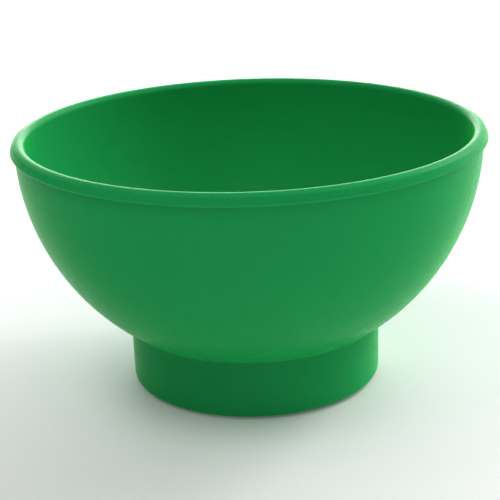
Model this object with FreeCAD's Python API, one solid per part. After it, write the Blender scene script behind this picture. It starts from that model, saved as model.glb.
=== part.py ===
import FreeCAD, Part
import os
from math import atan2, cos, degrees, radians, sin, sqrt

# Footed mixing bowl, in millimetres, standing on z = 0 with its axis along Z.
# A round-bottomed moulded shell with a beaded rim sits on a separate foot ring,
# and a soft grip ring in a groove under the foot meets the table.
# Every piece is one closed outline turned about the Z axis.

Vector = FreeCAD.Vector

# Whole bowl
RIM_RADIUS = 75.0           # outermost edge of the rim bead
HEIGHT = 83.0               # table to rim crest
SPHERE_RADIUS = 73.7        # outer skin of the round shell
WALL = 3.4                  # shell thickness

# Rim bead
LIP_INNER_RADIUS = 1.95     # rounding from the inner wall up to the crest
BEAD_HEIGHT = 3.95          # crest down to where the bead meets the wall
BEAD_FILLET = 0.4           # hollow corner between bead and wall

# Joint between shell and foot
FOOT_RADIUS_TOP = 40.6      # foot skin where it meets the shell
JOINT_FILLET = 0.6          # hollow corner above the joint
SEAM_HEIGHT = 19.0          # flat seam where the foot ring butts against the shell
SPIGOT_RADIUS = 37.0        # the shell's locating rib fits this bore
SPIGOT_WALL = 1.6
SPIGOT_BOTTOM = 13.4
SPIGOT_CHAMFER = 0.4        # lead-in on the rib

# Foot ring
FOOT_RADIUS_BOTTOM = 40.4   # a little draft towards the table
FOOT_BOTTOM = 0.5           # the rigid foot stops short of the table
FOOT_EDGE_RADIUS = 2.4      # rounded lower edge
BORE_RADIUS_LOW = 37.3      # the bore opens slightly below the joint
BORE_LOW = 6.6
TOE_INNER_RADIUS = 33.8     # inward flange that carries the grip groove
TOE_TOP = 4.6
TOE_CHAMFER = 0.5

# Grip ring and its groove
GRIP_INNER_RADIUS = 35.4
GRIP_OUTER_RADIUS = 37.6
GRIP_TOP = 2.4
GRIP_EDGE_RADIUS = 0.35

# Gate mark under the shell
GATE_RADIUS = 4.0
GATE_BOTTOM = 6.95

SPHERE_CENTRE_Z = HEIGHT - LIP_INNER_RADIUS
INNER_SPHERE_RADIUS = SPHERE_RADIUS - WALL
CREST_RADIUS = INNER_SPHERE_RADIUS + LIP_INNER_RADIUS
LIP_OUTER_RADIUS = RIM_RADIUS - CREST_RADIUS


def point(r, z):
    return Vector(r, 0, z)


def line(start, end):
    return Part.LineSegment(start, end).toShape()


def path(*corners):
    """Straight edges from corner to corner."""
    return [line(a, b) for a, b in zip(corners, corners[1:])]


def arc(centre_r, centre_z, radius, start_deg, end_deg):
    """Arc in the outline plane, its angles measured from +R towards +Z."""
    def at(angle_deg):
        angle = radians(angle_deg)
        return point(centre_r + radius * cos(angle), centre_z + radius * sin(angle))
    middle_deg = (start_deg + end_deg) / 2
    return Part.Arc(at(start_deg), at(middle_deg), at(end_deg)).toShape()


def shell_skin_z(r):
    """Height of the shell's outer skin at radius r."""
    return SPHERE_CENTRE_Z - sqrt(SPHERE_RADIUS ** 2 - r ** 2)


def shell_skin_r(z):
    """Radius of the shell's outer skin at height z."""
    return sqrt(SPHERE_RADIUS ** 2 - (SPHERE_CENTRE_Z - z) ** 2)


def skin_arc(start_r, end_r):
    """Stretch of the shell's outer skin between two radii."""
    start_deg = -degrees(atan2(sqrt(SPHERE_RADIUS ** 2 - start_r ** 2), start_r))
    end_deg = -degrees(atan2(sqrt(SPHERE_RADIUS ** 2 - end_r ** 2), end_r))
    return arc(0, SPHERE_CENTRE_Z, SPHERE_RADIUS, start_deg, end_deg)


def turn(edges):
    """Close the outline and turn it about the Z axis."""
    face = Part.Face(Part.Wire(Part.__sortEdges__(edges)))
    return face.revolve(Vector(0, 0, 0), Vector(0, 0, 1), 360)


def rim_bead():
    """From the inner wall over the crest to the outer wall below the bead."""
    widest_z = HEIGHT - LIP_OUTER_RADIUS
    wall_z = HEIGHT - BEAD_HEIGHT
    wall_r = shell_skin_r(wall_z)
    shoulder_z = wall_z + BEAD_FILLET
    under_radius = widest_z - shoulder_z
    under_r = RIM_RADIUS - under_radius
    fillet_r = wall_r + BEAD_FILLET
    edges = [
        arc(CREST_RADIUS, SPHERE_CENTRE_Z, LIP_INNER_RADIUS, 180, 90),
        arc(CREST_RADIUS, widest_z, LIP_OUTER_RADIUS, 90, 0),
        arc(under_r, widest_z, under_radius, 0, -90),
        line(point(under_r, shoulder_z), point(fillet_r, shoulder_z)),
        arc(fillet_r, wall_z, BEAD_FILLET, 90, 180),
    ]
    return edges, wall_r


def foot_seat():
    """Corner above the joint, flat seam, round seat and locating rib."""
    fillet_r = FOOT_RADIUS_TOP + JOINT_FILLET
    reach = SPHERE_RADIUS + JOINT_FILLET
    fillet_z = SPHERE_CENTRE_Z - sqrt(reach ** 2 - fillet_r ** 2)
    skin_r = fillet_r * SPHERE_RADIUS / reach
    tangent_deg = degrees(atan2(SPHERE_CENTRE_Z - fillet_z, -fillet_r))
    seat_r = shell_skin_r(SEAM_HEIGHT)
    rib_inner_r = SPIGOT_RADIUS - SPIGOT_WALL
    edges = [arc(fillet_r, fillet_z, JOINT_FILLET, tangent_deg, 180)]
    edges += path(point(FOOT_RADIUS_TOP, fillet_z), point(FOOT_RADIUS_TOP, SEAM_HEIGHT),
                  point(seat_r, SEAM_HEIGHT))
    edges += [skin_arc(seat_r, SPIGOT_RADIUS)]
    edges += path(point(SPIGOT_RADIUS, shell_skin_z(SPIGOT_RADIUS)),
                  point(SPIGOT_RADIUS, SPIGOT_BOTTOM + SPIGOT_CHAMFER),
                  point(SPIGOT_RADIUS - SPIGOT_CHAMFER, SPIGOT_BOTTOM),
                  point(rib_inner_r, SPIGOT_BOTTOM),
                  point(rib_inner_r, shell_skin_z(rib_inner_r)))
    return edges, skin_r, rib_inner_r


def bowl_shell():
    """Round shell with its rim bead, foot seat, locating rib and gate mark."""
    inner_bottom = point(0, SPHERE_CENTRE_Z - INNER_SPHERE_RADIUS)
    bead, wall_r = rim_bead()
    seat, seat_start_r, seat_end_r = foot_seat()
    edges = [arc(0, SPHERE_CENTRE_Z, INNER_SPHERE_RADIUS, -90, 0)]
    edges += bead
    edges += [skin_arc(wall_r, seat_start_r)]
    edges += seat
    edges += [skin_arc(seat_end_r, GATE_RADIUS)]
    edges += path(point(GATE_RADIUS, shell_skin_z(GATE_RADIUS)), point(GATE_RADIUS, GATE_BOTTOM),
                  point(0, GATE_BOTTOM), inner_bottom)
    return turn(edges)


def foot_ring():
    """Drafted ring with a rounded lower edge and an inward toe for the grip."""
    edge_centre_r = FOOT_RADIUS_BOTTOM - FOOT_EDGE_RADIUS
    edge_centre_z = FOOT_BOTTOM + FOOT_EDGE_RADIUS
    seat_r = shell_skin_r(SEAM_HEIGHT)
    edges = path(point(seat_r, SEAM_HEIGHT), point(FOOT_RADIUS_TOP, SEAM_HEIGHT),
                 point(FOOT_RADIUS_BOTTOM, edge_centre_z))
    edges += [arc(edge_centre_r, edge_centre_z, FOOT_EDGE_RADIUS, 0, -90)]
    edges += path(point(edge_centre_r, FOOT_BOTTOM),
                  point(GRIP_OUTER_RADIUS, FOOT_BOTTOM),
                  point(GRIP_OUTER_RADIUS, GRIP_TOP),
                  point(GRIP_INNER_RADIUS, GRIP_TOP),
                  point(GRIP_INNER_RADIUS, FOOT_BOTTOM),
                  point(TOE_INNER_RADIUS + TOE_CHAMFER, FOOT_BOTTOM),
                  point(TOE_INNER_RADIUS, FOOT_BOTTOM + TOE_CHAMFER),
                  point(TOE_INNER_RADIUS, TOE_TOP),
                  point(BORE_RADIUS_LOW, BORE_LOW),
                  point(SPIGOT_RADIUS, SPIGOT_BOTTOM),
                  point(SPIGOT_RADIUS, shell_skin_z(SPIGOT_RADIUS)))
    edges += [skin_arc(SPIGOT_RADIUS, seat_r)]
    return turn(edges)


def base_grip_ring():
    """Soft ring that fills the foot's groove and stands on the table."""
    inner_centre_r = GRIP_INNER_RADIUS + GRIP_EDGE_RADIUS
    outer_centre_r = GRIP_OUTER_RADIUS - GRIP_EDGE_RADIUS
    edges = path(point(GRIP_INNER_RADIUS, GRIP_EDGE_RADIUS), point(GRIP_INNER_RADIUS, GRIP_TOP),
                 point(GRIP_OUTER_RADIUS, GRIP_TOP), point(GRIP_OUTER_RADIUS, GRIP_EDGE_RADIUS))
    edges += [arc(outer_centre_r, GRIP_EDGE_RADIUS, GRIP_EDGE_RADIUS, 0, -90)]
    edges += path(point(outer_centre_r, 0), point(inner_centre_r, 0))
    edges += [arc(inner_centre_r, GRIP_EDGE_RADIUS, GRIP_EDGE_RADIUS, -90, -180)]
    return turn(edges)


PIECES = {
    "bowl_shell": bowl_shell,
    "foot_ring": foot_ring,
    "base_grip_ring": base_grip_ring,
}


def main():
    os.makedirs("parts", exist_ok=True)
    for name, make in PIECES.items():
        shape = make()
        box = shape.BoundBox
        print(name, shape.ShapeType, "valid", shape.isValid(), "volume", round(shape.Volume, 1),
              "z", round(box.ZMin, 3), round(box.ZMax, 3), "width", round(box.XLength, 3))
        shape.exportStep("parts/" + name + ".step")


main()
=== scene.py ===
from math import atan2, ceil, cos, degrees, pi, radians, sin, sqrt, tan

import bpy
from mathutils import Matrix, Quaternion, Vector


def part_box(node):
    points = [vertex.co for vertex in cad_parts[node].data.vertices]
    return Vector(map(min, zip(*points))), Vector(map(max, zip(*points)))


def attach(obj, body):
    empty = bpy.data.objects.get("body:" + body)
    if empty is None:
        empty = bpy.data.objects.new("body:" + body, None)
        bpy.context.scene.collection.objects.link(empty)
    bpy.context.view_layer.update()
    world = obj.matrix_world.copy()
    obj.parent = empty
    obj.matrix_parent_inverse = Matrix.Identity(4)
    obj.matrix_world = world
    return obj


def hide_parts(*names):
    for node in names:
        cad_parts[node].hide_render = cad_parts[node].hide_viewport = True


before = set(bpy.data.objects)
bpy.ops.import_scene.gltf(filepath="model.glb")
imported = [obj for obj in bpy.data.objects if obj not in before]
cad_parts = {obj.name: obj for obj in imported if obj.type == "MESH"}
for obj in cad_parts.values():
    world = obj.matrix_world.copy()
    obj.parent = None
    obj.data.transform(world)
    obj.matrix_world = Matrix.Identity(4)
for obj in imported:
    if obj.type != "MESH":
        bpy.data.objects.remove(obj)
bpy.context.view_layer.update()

# The footed mixing bowl: three turned pieces, each a fine closed mesh that stands for its CAD node.
# Lengths are in metres, Z is the bowl's axis, and the camera looks along +Y.

MM = 0.001
BODY = "root"

# Sizes read from the frame
shell_low, shell_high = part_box("bowl_shell")
foot_low, foot_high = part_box("foot_ring")
_, grip_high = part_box("base_grip_ring")
RIM_RADIUS = shell_high.x
HEIGHT = shell_high.z
GATE_BOTTOM = shell_low.z
FOOT_RADIUS_TOP = foot_high.x
SEAM_HEIGHT = foot_high.z
FOOT_BOTTOM = foot_low.z
GRIP_OUTER_RADIUS = grip_high.x
GRIP_TOP = grip_high.z

# Shell, as in the CAD model
SPHERE_RADIUS = 73.7 * MM
WALL = 3.4 * MM
LIP_INNER_RADIUS = 1.95 * MM
BEAD_HEIGHT = 3.95 * MM
BEAD_FILLET = 0.4 * MM
JOINT_FILLET = 0.6 * MM
SPIGOT_RADIUS = 37.0 * MM
SPIGOT_WALL = 1.6 * MM
SPIGOT_BOTTOM = 13.4 * MM
GATE_RADIUS = 4.0 * MM
SPHERE_CENTRE_Z = HEIGHT - LIP_INNER_RADIUS
INNER_SPHERE_RADIUS = SPHERE_RADIUS - WALL
CREST_RADIUS = INNER_SPHERE_RADIUS + LIP_INNER_RADIUS
LIP_OUTER_RADIUS = RIM_RADIUS - CREST_RADIUS

# Foot ring and grip ring, as in the CAD model
FOOT_RADIUS_BOTTOM = 40.4 * MM
FOOT_EDGE_RADIUS = 2.4 * MM
BORE_RADIUS_LOW = 37.3 * MM
BORE_LOW = 6.6 * MM
TOE_INNER_RADIUS = 33.8 * MM
TOE_TOP = 4.6 * MM
GRIP_INNER_RADIUS = 35.4 * MM

# Fine detail that only the looks carry
TURN_STEPS = 288             # facets round the axis
ARC_STEP_DEG = 2.0           # coarsest step along the large round outlines
SMALL_ARC_STEPS = 8          # steps in each small rounding
LIP_STEPS = 18               # steps over the rim's crest
BEAD_STEPS = 10              # steps under the bead
FOOT_EDGE_STEPS = 16
SAME_POINT = 1e-7            # points closer than this are one
ALMOST_STRAIGHT_DEG = 89.0   # half the angle of a corner too flat to round
LONGEST_REACH = 0.45         # a rounding uses at most this much of each straight edge
MOULD_EDGE = 0.25 * MM       # rounding on the moulded corners that nobody softens
SEAM_EDGE = 0.03 * MM        # rounding on the two lips of the seam
BEVEL_FACES_DEG = 60.0       # the flat band outside the crest faces this far above the horizontal
BEVEL_RADIUS = 74.25 * MM    # its outer edge, which catches the second thin highlight
BEVEL_EDGE = 0.35 * MM
FLASH_HEIGHT = 0.05 * MM     # the mould's parting line stands proud of the bead
FLASH_WIDTH = 0.22 * MM
FLASH_TIP_EDGE = 0.03 * MM
FLASH_ROOT_EDGE = 0.10 * MM
FLASH_SHOULDER_EDGE = 0.50 * MM
GATE_ROOT_EDGE = 0.10 * MM
GATE_RIM_EDGE = 0.12 * MM
GRIP_EDGE = 0.35 * MM
GRIP_GROOVE_EDGE = 0.08 * MM # the lips of the groove in the foot
GROOVE_DEPTH = 0.12 * MM     # tread in the grip ring's underside
TREAD_EDGE = 0.04 * MM
GROOVE_COUNT = 3


# ---------------------------------------------------------------- outlines

def arc(centre_r, centre_z, radius, start_deg, end_deg, steps=SMALL_ARC_STEPS):
    """Points along an arc of the outline, as (r, z, rounding)."""
    points = []
    for i in range(steps + 1):
        angle = radians(start_deg + (end_deg - start_deg) * i / steps)
        points.append((centre_r + radius * cos(angle), centre_z + radius * sin(angle), 0.0))
    return points


def sphere_angle(radius, r):
    """Angle, below the horizontal, of the point at radius r on a sphere round the bowl's centre."""
    return -degrees(atan2(sqrt(max(radius ** 2 - r ** 2, 0.0)), r))


def sphere_arc(radius, start_r, end_r):
    """Stretch of a sphere round the bowl's centre, between two distances from the axis."""
    start_deg = sphere_angle(radius, start_r)
    end_deg = sphere_angle(radius, end_r)
    steps = max(2, ceil(abs(end_deg - start_deg) / ARC_STEP_DEG))
    return arc(0.0, SPHERE_CENTRE_Z, radius, start_deg, end_deg, steps)


def skin_z(r):
    """Height of the shell's outer skin at radius r."""
    return SPHERE_CENTRE_Z - sqrt(SPHERE_RADIUS ** 2 - r ** 2)


def skin_r(z):
    """Radius of the shell's outer skin at height z."""
    return sqrt(SPHERE_RADIUS ** 2 - (SPHERE_CENTRE_Z - z) ** 2)


def rounded_corner(before, corner, after, rounding):
    """The points of an arc that rounds a corner between two straight edges."""
    into = (before - corner).normalized()
    out = (after - corner).normalized()
    half = into.angle(out) / 2
    if half > radians(ALMOST_STRAIGHT_DEG):
        return [corner]
    shorter = min((before - corner).length, (after - corner).length)
    reach = min(rounding / tan(half), LONGEST_REACH * shorter)
    radius = reach * tan(half)
    centre = corner + (into + out).normalized() * (radius / sin(half))
    start = corner + into * reach - centre
    turn = pi - 2 * half
    side = 1 if start.x * (out.y - into.y) - start.y * (out.x - into.x) > 0 else -1
    points = []
    for i in range(SMALL_ARC_STEPS + 1):
        angle = side * turn * i / SMALL_ARC_STEPS
        points.append(centre + Vector((start.x * cos(angle) - start.y * sin(angle),
                                       start.x * sin(angle) + start.y * cos(angle))))
    return points


def smooth_outline(points, closed):
    """Round each corner that asks for it, and drop points that lie on one another."""
    flat = [Vector(p[:2]) for p in points]
    count = len(flat)
    result = []
    for i, (_, _, rounding) in enumerate(points):
        at_end = not closed and i in (0, count - 1)
        if rounding and not at_end:
            result += rounded_corner(flat[i - 1], flat[i], flat[(i + 1) % count], rounding)
        else:
            result.append(flat[i])
    kept = [result[0]]
    for p in result[1:]:
        if (p - kept[-1]).length > SAME_POINT:
            kept.append(p)
    if closed and (kept[0] - kept[-1]).length < SAME_POINT:
        kept.pop()
    return kept


# ---------------------------------------------------------------- turned meshes

def turned(name, points, closed):
    """Turn an outline about Z. An open outline starts and ends on the axis; a closed one is a ring."""
    outline = smooth_outline(points, closed)
    vertices, faces, rings = [], [], []
    for p in outline:
        if p.x < SAME_POINT:
            rings.append([len(vertices)])
            vertices.append((0.0, 0.0, p.y))
            continue
        rings.append(list(range(len(vertices), len(vertices) + TURN_STEPS)))
        for i in range(TURN_STEPS):
            angle = 2 * pi * i / TURN_STEPS
            vertices.append((p.x * cos(angle), p.x * sin(angle), p.y))
    pairs = list(zip(rings, rings[1:]))
    if closed:
        pairs.append((rings[-1], rings[0]))
    for low, high in pairs:
        for i in range(TURN_STEPS):
            j = (i + 1) % TURN_STEPS
            if len(low) == 1:
                faces.append((low[0], high[i], high[j]))
            elif len(high) == 1:
                faces.append((low[j], low[i], high[0]))
            else:
                faces.append((low[j], low[i], high[i], high[j]))
    mesh = bpy.data.meshes.new(name)
    mesh.from_pydata(vertices, [], faces)
    mesh.validate()
    for polygon in mesh.polygons:
        polygon.use_smooth = True
    piece = bpy.data.objects.new(name, mesh)
    bpy.context.scene.collection.objects.link(piece)
    return piece


def rim_outline():
    """Inner wall over the crest and its bevel to the parting line, and under the bead to the wall."""
    widest_z = HEIGHT - LIP_OUTER_RADIUS
    wall_z = HEIGHT - BEAD_HEIGHT
    shoulder_z = wall_z + BEAD_FILLET
    under_radius = widest_z - shoulder_z
    bead_r = RIM_RADIUS - FLASH_HEIGHT
    under_r = bead_r - under_radius
    fillet_r = skin_r(wall_z) + BEAD_FILLET
    points = arc(CREST_RADIUS, SPHERE_CENTRE_Z, LIP_INNER_RADIUS, 180, BEVEL_FACES_DEG, LIP_STEPS)
    bevel_start_r, bevel_start_z, _ = points[-1]
    bevel_drop = (BEVEL_RADIUS - bevel_start_r) / tan(radians(BEVEL_FACES_DEG))
    points += [(BEVEL_RADIUS, bevel_start_z - bevel_drop, BEVEL_EDGE)]
    points += [(bead_r, widest_z + FLASH_WIDTH, FLASH_SHOULDER_EDGE),
               (RIM_RADIUS, widest_z, FLASH_TIP_EDGE),
               (bead_r, widest_z - FLASH_WIDTH, FLASH_ROOT_EDGE)]
    points += arc(under_r, widest_z - FLASH_WIDTH, under_radius - FLASH_WIDTH, 0, -90, BEAD_STEPS)[1:]
    points += arc(fillet_r, wall_z, BEAD_FILLET, 90, 180)
    return points


def shell_outline():
    """The whole shell, from the middle of its floor to the gate mark underneath."""
    wall_r = skin_r(HEIGHT - BEAD_HEIGHT)
    fillet_r = FOOT_RADIUS_TOP + JOINT_FILLET
    reach = SPHERE_RADIUS + JOINT_FILLET
    fillet_z = SPHERE_CENTRE_Z - sqrt(reach ** 2 - fillet_r ** 2)
    tangent_deg = degrees(atan2(SPHERE_CENTRE_Z - fillet_z, -fillet_r))
    rib_inner_r = SPIGOT_RADIUS - SPIGOT_WALL
    points = sphere_arc(INNER_SPHERE_RADIUS, 0.0, INNER_SPHERE_RADIUS)[:-1]
    points += rim_outline()
    points += sphere_arc(SPHERE_RADIUS, wall_r, fillet_r * SPHERE_RADIUS / reach)[1:-1]
    points += arc(fillet_r, fillet_z, JOINT_FILLET, tangent_deg, 180)
    points += [(FOOT_RADIUS_TOP, SEAM_HEIGHT, SEAM_EDGE), (skin_r(SEAM_HEIGHT), SEAM_HEIGHT, 0.0)]
    points += sphere_arc(SPHERE_RADIUS, skin_r(SEAM_HEIGHT), SPIGOT_RADIUS)[1:]
    points += [(SPIGOT_RADIUS, SPIGOT_BOTTOM, MOULD_EDGE), (rib_inner_r, SPIGOT_BOTTOM, MOULD_EDGE),
               (rib_inner_r, skin_z(rib_inner_r), MOULD_EDGE)]
    points += sphere_arc(SPHERE_RADIUS, rib_inner_r, GATE_RADIUS)[1:-1]
    points += [(GATE_RADIUS, skin_z(GATE_RADIUS), GATE_ROOT_EDGE),
               (GATE_RADIUS, GATE_BOTTOM, GATE_RIM_EDGE), (0.0, GATE_BOTTOM, 0.0)]
    return points


def foot_outline():
    """The foot ring: drafted skin, rounded edge, grip groove, inward toe, bore and round seat."""
    edge_r = FOOT_RADIUS_BOTTOM - FOOT_EDGE_RADIUS
    edge_z = FOOT_BOTTOM + FOOT_EDGE_RADIUS
    seat_r = skin_r(SEAM_HEIGHT)
    points = [(seat_r, SEAM_HEIGHT, 0.0), (FOOT_RADIUS_TOP, SEAM_HEIGHT, SEAM_EDGE)]
    points += arc(edge_r, edge_z, FOOT_EDGE_RADIUS, 0, -90, FOOT_EDGE_STEPS)
    points += [(GRIP_OUTER_RADIUS, FOOT_BOTTOM, GRIP_GROOVE_EDGE), (GRIP_OUTER_RADIUS, GRIP_TOP, 0.0),
               (GRIP_INNER_RADIUS, GRIP_TOP, 0.0), (GRIP_INNER_RADIUS, FOOT_BOTTOM, GRIP_GROOVE_EDGE),
               (TOE_INNER_RADIUS, FOOT_BOTTOM, 2 * MOULD_EDGE), (TOE_INNER_RADIUS, TOE_TOP, MOULD_EDGE),
               (BORE_RADIUS_LOW, BORE_LOW, 4 * MOULD_EDGE), (SPIGOT_RADIUS, SPIGOT_BOTTOM, 0.0)]
    points += sphere_arc(SPHERE_RADIUS, SPIGOT_RADIUS, seat_r)[:-1]
    return points


def grip_outline():
    """The soft ring, with fine tread grooves in the face that meets the table."""
    land = (GRIP_OUTER_RADIUS - GRIP_INNER_RADIUS) / (2 * GROOVE_COUNT + 1)
    points = [(GRIP_INNER_RADIUS, GRIP_TOP, 0.0), (GRIP_OUTER_RADIUS, GRIP_TOP, 0.0),
              (GRIP_OUTER_RADIUS, 0.0, GRIP_EDGE)]
    for i in range(GROOVE_COUNT):
        outer = GRIP_OUTER_RADIUS - (2 * i + 1.25) * land
        inner = outer - 0.5 * land
        points += [(outer, 0.0, TREAD_EDGE), (outer, GROOVE_DEPTH, TREAD_EDGE),
                   (inner, GROOVE_DEPTH, TREAD_EDGE), (inner, 0.0, TREAD_EDGE)]
    points += [(GRIP_INNER_RADIUS, 0.0, GRIP_EDGE)]
    return points


# ---------------------------------------------------------------- materials

LEAF_GREEN = (0.0155, 0.390, 0.1020)
MOSS_GREEN = (0.0160, 0.375, 0.0990)
PLASTIC_IOR = 1.1            # low, because the wall hardly mirrors the pale floor
ORANGE_PEEL_DEPTH = 0.006 * MM
GRAIN_DEPTH = 0.003 * MM
RUBBER_GRAIN_DEPTH = 0.01 * MM
POLISH_SPREAD = 0.02         # how much the roughness varies
GLOW_WEIGHT = 0.40           # sheen, for the light scattered inside the plastic at its silhouette
GLOW_ROUGHNESS = 0.35
GLOW_GREEN = (0.05, 1.0, 0.10)
RUBBER_GREEN = (0.006, 0.028, 0.012)
DUSTY_GREEN = (0.012, 0.042, 0.020)
FLOOR_DARK = (0.85, 0.85, 0.85)
FLOOR_LIGHT = (0.87, 0.87, 0.87)
NOISE_LOW = 0.3              # nearly all of the noise lies between these
NOISE_HIGH = 0.7


def new_material(name):
    material = bpy.data.materials.new(name)
    material.use_nodes = True
    shader = material.node_tree.nodes["Principled BSDF"]
    return material, material.node_tree, shader


def noise(tree, scale, detail=2.0, roughness=0.5):
    """Noise in the piece's own coordinates; scale is in waves per metre."""
    place = tree.nodes.new("ShaderNodeTexCoord")
    node = tree.nodes.new("ShaderNodeTexNoise")
    node.inputs["Scale"].default_value = scale
    node.inputs["Detail"].default_value = detail
    node.inputs["Roughness"].default_value = roughness
    tree.links.new(place.outputs["Object"], node.inputs["Vector"])
    return node.outputs["Fac"]


def spread(tree, value, low, high):
    """Map a 0 to 1 value to low to high."""
    node = tree.nodes.new("ShaderNodeMapRange")
    node.inputs["From Min"].default_value = NOISE_LOW
    node.inputs["From Max"].default_value = NOISE_HIGH
    node.inputs["To Min"].default_value = low
    node.inputs["To Max"].default_value = high
    tree.links.new(value, node.inputs["Value"])
    return node.outputs["Result"]


def blend_colours(tree, factor, first, second):
    node = tree.nodes.new("ShaderNodeMix")
    node.data_type = "RGBA"
    node.inputs["A"].default_value = (*first, 1)
    node.inputs["B"].default_value = (*second, 1)
    tree.links.new(factor, node.inputs["Factor"])
    return node.outputs["Result"]


def bumps(tree, shader, layers):
    """Chain bump layers of (height field, depth in metres) into the shader's normal."""
    normal = None
    for height, depth in layers:
        node = tree.nodes.new("ShaderNodeBump")
        node.inputs["Strength"].default_value = 1.0
        node.inputs["Distance"].default_value = depth
        tree.links.new(height, node.inputs["Height"])
        if normal:
            tree.links.new(normal, node.inputs["Normal"])
        normal = node.outputs["Normal"]
    tree.links.new(normal, shader.inputs["Normal"])


def moulded_plastic(name, roughness):
    """Satin moulded plastic: slow colour drift, fine orange peel and an uneven polish."""
    material, tree, shader = new_material(name)
    drift = spread(tree, noise(tree, scale=22.0, detail=3.0), low=0.0, high=1.0)
    tree.links.new(blend_colours(tree, drift, LEAF_GREEN, MOSS_GREEN), shader.inputs["Base Color"])
    polish = spread(tree, noise(tree, scale=140.0, detail=4.0, roughness=0.6),
                    low=roughness - POLISH_SPREAD, high=roughness + POLISH_SPREAD)
    tree.links.new(polish, shader.inputs["Roughness"])
    shader.inputs["IOR"].default_value = PLASTIC_IOR
    shader.inputs["Sheen Weight"].default_value = GLOW_WEIGHT
    shader.inputs["Sheen Roughness"].default_value = GLOW_ROUGHNESS
    shader.inputs["Sheen Tint"].default_value = (*GLOW_GREEN, 1.0)
    orange_peel = noise(tree, scale=420.0, detail=1.0)
    grain = noise(tree, scale=3200.0, detail=2.0)
    bumps(tree, shader, [(orange_peel, ORANGE_PEEL_DEPTH), (grain, GRAIN_DEPTH)])
    return material


def soft_rubber(name):
    """Matt elastomer with a fine grain and a little dust in it."""
    material, tree, shader = new_material(name)
    dust = spread(tree, noise(tree, scale=160.0, detail=4.0, roughness=0.7), low=0.0, high=1.0)
    tree.links.new(blend_colours(tree, dust, RUBBER_GREEN, DUSTY_GREEN),
                   shader.inputs["Base Color"])
    wear = spread(tree, noise(tree, scale=900.0), low=0.72, high=0.86)
    tree.links.new(wear, shader.inputs["Roughness"])
    shader.inputs["Specular IOR Level"].default_value = 0.3
    bumps(tree, shader, [(noise(tree, scale=2600.0, detail=3.0), RUBBER_GRAIN_DEPTH)])
    return material


GLOW_START = 0.5             # distances from the bowl, in metres
GLOW_FULL = 2.0
GLOW_NEAR = 0.10             # painted glow of the floor under the bowl, which lightens its shadow
GLOW_FAR = 0.85              # painted glow of the floor where the lights don't reach


def floor_material():
    """Pale floor that glows faintly, painted light that grows where the lights don't reach."""
    material, tree, shader = new_material("pale_floor")
    tone = spread(tree, noise(tree, scale=3.0, detail=3.0), low=0.0, high=1.0)
    tree.links.new(blend_colours(tree, tone, FLOOR_DARK, FLOOR_LIGHT), shader.inputs["Base Color"])
    place = tree.nodes.new("ShaderNodeTexCoord")
    distance = tree.nodes.new("ShaderNodeVectorMath")
    distance.operation = "LENGTH"
    glow = tree.nodes.new("ShaderNodeMapRange")
    glow.inputs["From Min"].default_value = GLOW_START
    glow.inputs["From Max"].default_value = GLOW_FULL
    glow.inputs["To Min"].default_value = GLOW_NEAR
    glow.inputs["To Max"].default_value = GLOW_FAR
    tree.links.new(place.outputs["Object"], distance.inputs[0])
    tree.links.new(distance.outputs["Value"], glow.inputs["Value"])
    shader.inputs["Emission Color"].default_value = (1, 1, 1, 1)
    tree.links.new(glow.outputs["Result"], shader.inputs["Emission Strength"])
    shader.inputs["Roughness"].default_value = 0.9
    shader.inputs["Specular IOR Level"].default_value = 0.0
    return material


# ---------------------------------------------------------------- pieces

def add_piece(name, node, points, closed, material):
    piece = turned(name, points, closed)
    piece.data.materials.append(material)
    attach(piece, BODY)
    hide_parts(node)


def make_pieces():
    add_piece("moulded_shell", "bowl_shell", shell_outline(), False,
              moulded_plastic("shell_plastic", roughness=0.28))
    add_piece("moulded_foot", "foot_ring", foot_outline(), True,
              moulded_plastic("foot_plastic", roughness=0.29))
    add_piece("soft_grip", "base_grip_ring", grip_outline(), True,
              soft_rubber("grip_rubber"))


# ---------------------------------------------------------------- stage, light and camera

CAMERA_DISTANCE = 6.22 * RIM_RADIUS   # to the middle of the rim's crest
CAMERA_ELEVATION = 14.0
CAMERA_PAN = 0.11
CAMERA_TILT = -4.78
CAMERA_ROLL = 2.01
CAMERA_LENS = 105.9                   # millimetres, as is the sensor
SENSOR_WIDTH = 36.0
NEAREST_SEEN = 0.01

FLOOR_WIDTH = 6.0
FILL_STRENGTH = 0.02
WALL_STRENGTH = 0.9
LIGHT_DISTANCE = 1.5

# Name, azimuth and elevation in degrees, width and height in metres, watts
STUDIO_LIGHTS = [
    ("right_key", 120, 35, 0.95, 0.65, 8.5),
    ("right_spot", 120, 36, 0.30, 0.25, 3.5),
    ("right_side", 80, 35, 0.95, 0.65, 2.5),
    ("right_low", 120, 10, 0.80, 0.60, 4.0),
    ("backdrop", 180, 10, 0.80, 0.60, 6.0),
    ("wide_backdrop", 172, 22, 2.00, 1.30, 16.0),
    ("back_left", 200, 35, 0.95, 0.65, 2.0),
    ("back_right", 160, 35, 0.95, 0.65, 1.8),
    ("left_overhead", 288, 62, 1.00, 0.80, 5.7),
    ("front_overhead", 0, 62, 1.00, 0.80, 4.8),
]


def direction(azimuth, elevation):
    """Unit vector from the bowl; azimuth 0 is the camera's side and 90 the camera's right."""
    a, e = radians(azimuth), radians(elevation)
    return Vector((sin(a) * cos(e), -cos(a) * cos(e), sin(e)))


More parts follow.
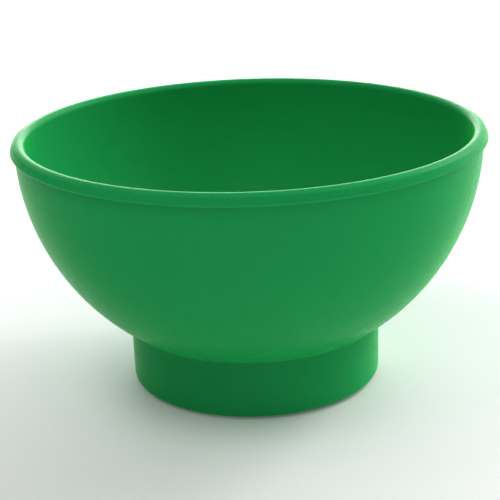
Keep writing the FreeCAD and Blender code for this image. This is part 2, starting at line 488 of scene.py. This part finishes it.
def make_camera():
    data = bpy.data.cameras.new("camera")
    data.sensor_width = SENSOR_WIDTH
    data.lens = CAMERA_LENS
    data.clip_start = NEAREST_SEEN
    camera = bpy.data.objects.new("camera", data)
    bpy.context.scene.collection.objects.link(camera)
    towards = direction(0, CAMERA_ELEVATION)
    camera.location = Vector((0, 0, HEIGHT)) + towards * CAMERA_DISTANCE
    aim = (-towards).to_track_quat("-Z", "Y")
    aim @= Quaternion((0, 1, 0), radians(CAMERA_PAN))
    aim @= Quaternion((1, 0, 0), radians(CAMERA_TILT))
    aim @= Quaternion((0, 0, -1), radians(CAMERA_ROLL))
    camera.rotation_mode = "QUATERNION"
    camera.rotation_quaternion = aim
    bpy.context.scene.camera = camera


def make_floor():
    half = FLOOR_WIDTH / 2
    mesh = bpy.data.meshes.new("floor")
    mesh.from_pydata([(-half, -half, 0), (half, -half, 0), (half, half, 0), (-half, half, 0)], [],
                     [(0, 1, 2, 3)])
    mesh.materials.append(floor_material())
    floor = bpy.data.objects.new("floor", mesh)
    bpy.context.scene.collection.objects.link(floor)


def soft_light(name, azimuth, elevation, width, height, watts):
    data = bpy.data.lights.new(name, "AREA")
    data.shape = "RECTANGLE"
    data.size = width
    data.size_y = height
    data.energy = watts
    light = bpy.data.objects.new(name, data)
    away = direction(azimuth, elevation)
    light.location = Vector((0, 0, HEIGHT / 2)) + away * LIGHT_DISTANCE
    light.rotation_mode = "QUATERNION"
    light.rotation_quaternion = away.to_track_quat("Z", "Y")
    bpy.context.scene.collection.objects.link(light)


def make_world():
    """A faint even fill; the camera itself sees the world as a pale studio wall."""
    world = bpy.data.worlds.new("studio")
    world.use_nodes = True
    tree = world.node_tree
    background = tree.nodes["Background"]
    background.inputs["Color"].default_value = (1, 1, 1, 1)
    ray = tree.nodes.new("ShaderNodeLightPath")
    strength = tree.nodes.new("ShaderNodeMapRange")
    strength.inputs["To Min"].default_value = FILL_STRENGTH
    strength.inputs["To Max"].default_value = WALL_STRENGTH
    tree.links.new(ray.outputs["Is Camera Ray"], strength.inputs["Value"])
    tree.links.new(strength.outputs["Result"], background.inputs["Strength"])
    bpy.context.scene.world = world


def make_studio():
    make_floor()
    make_world()
    for light in STUDIO_LIGHTS:
        soft_light(*light)
    bpy.context.scene.view_settings.view_transform = "Standard"


make_camera()
make_pieces()
make_studio()
